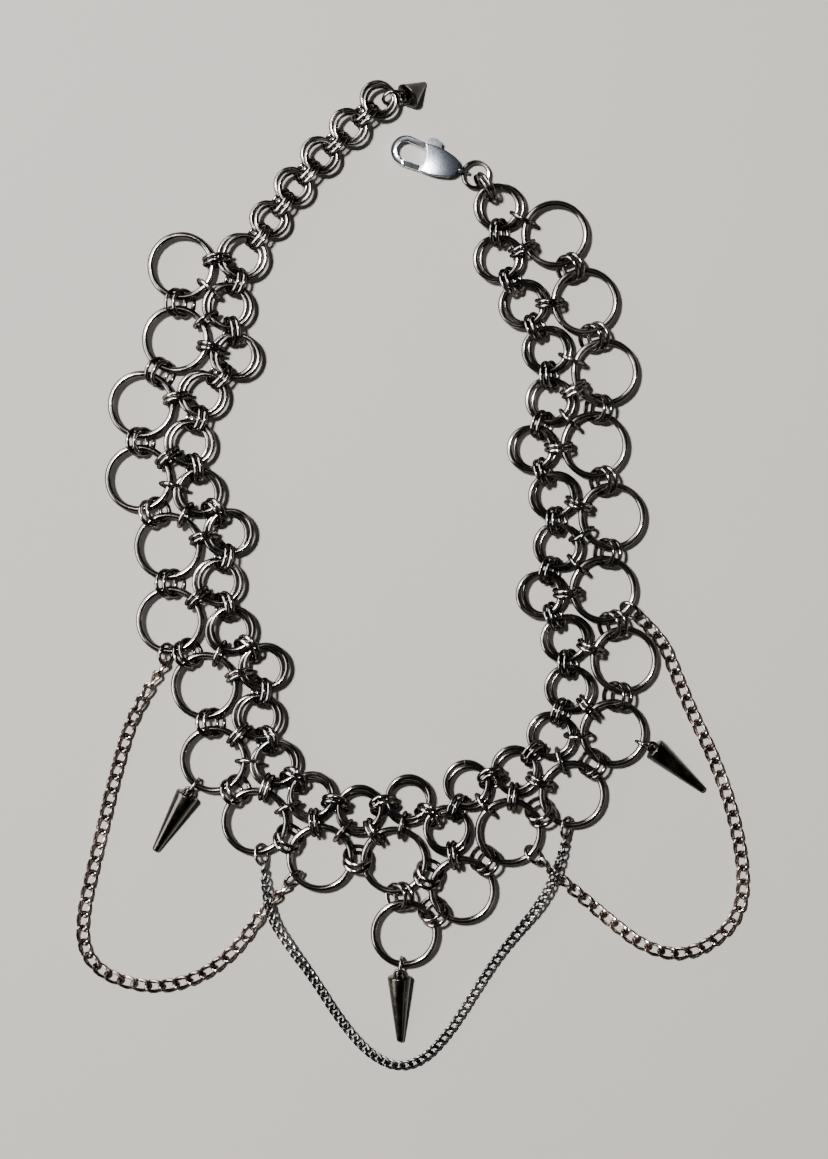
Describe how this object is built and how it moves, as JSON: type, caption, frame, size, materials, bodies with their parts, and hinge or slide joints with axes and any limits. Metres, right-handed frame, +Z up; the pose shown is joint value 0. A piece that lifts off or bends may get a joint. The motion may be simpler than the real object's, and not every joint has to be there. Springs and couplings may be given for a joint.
{
  "type": "chainmail choker",
  "caption": "Chainmail choker of large single rings and small paired rings joined by jump rings, with an extender, a lobster clasp, spikes and chain swags.",
  "frame": {"origin": "middle of the whole piece's footprint, on the surface that it lies on", "axes": "+Z up from the table, +Y towards the open ends with the clasp and the extender, +X towards the clasp's side"},
  "size_m": [0.1453, 0.2135, 0.0069],
  "materials": {
    "large_rings": "polished dark gunmetal wire",
    "paired_rings": "polished dark gunmetal wire",
    "small_rings": "polished dark gunmetal wire",
    "side_chain": "polished gunmetal curb chain",
    "fine_chain": "dark oxidised fine curb chain",
    "black_metal": "glossy black plated metal",
    "clasp_steel": "satin steel with polished edges"
  },
  "bodies": {
    "choker": {"clasp_body": "clasp_steel", "clasp_links": "small_rings", "clasp_ring_flat": "small_rings", "clasp_rivet": "clasp_steel", "cone_charm": "black_metal", "cone_ring": "small_rings", "cross_links_left": "small_rings", "cross_links_right": "small_rings", "extender_links": "small_rings", "extender_rings": "paired_rings", "inner_links_left": "small_rings", "inner_links_right": "small_rings", "inner_rings_left": "paired_rings", "inner_rings_right": "paired_rings", "outer_links_left": "small_rings", "outer_links_right": "small_rings", "outer_ring_01": "large_rings", "outer_ring_02": "large_rings", "outer_ring_03": "large_rings", "outer_ring_04": "large_rings", "outer_ring_05": "large_rings", "outer_ring_06": "large_rings", "outer_ring_07": "large_rings", "outer_ring_08": "large_rings", "outer_ring_09": "large_rings", "outer_ring_10": "large_rings", "outer_ring_11": "large_rings", "outer_ring_12": "large_rings", "outer_ring_13": "large_rings", "outer_ring_14": "large_rings", "outer_ring_15": "large_rings", "outer_ring_16": "large_rings", "outer_ring_17": "large_rings", "outer_ring_18": "large_rings", "outer_ring_19": "large_rings", "outer_ring_20": "large_rings", "outer_ring_21": "large_rings", "outer_ring_22": "large_rings", "pendant_links": "small_rings", "pendant_ring": "large_rings", "spike_centre": "black_metal", "spike_left": "black_metal", "spike_right": "black_metal", "spike_ring_centre": "small_rings", "spike_ring_left": "small_rings", "spike_ring_right": "small_rings", "swag_centre": "fine_chain", "swag_left": "side_chain", "swag_right": "side_chain", "swag_ring_centre_end": "small_rings", "swag_ring_centre_start": "small_rings", "swag_ring_left_end": "small_rings", "swag_ring_left_start": "small_rings", "swag_ring_right_end": "small_rings", "swag_ring_right_start": "small_rings"},
    "lever": {"clasp_lever": "clasp_steel"}
  },
  "joints": [
    {"name": "clasp_lever", "type": "hinge", "parent": "choker", "child": "lever", "pos_m": [0.00458, 0.08951, 0.0016], "axis": [0, 0, -1], "range_deg": [0, 25], "stiffness_Nm_per_rad": 0.002, "springref_deg": -11.46}
  ]
}
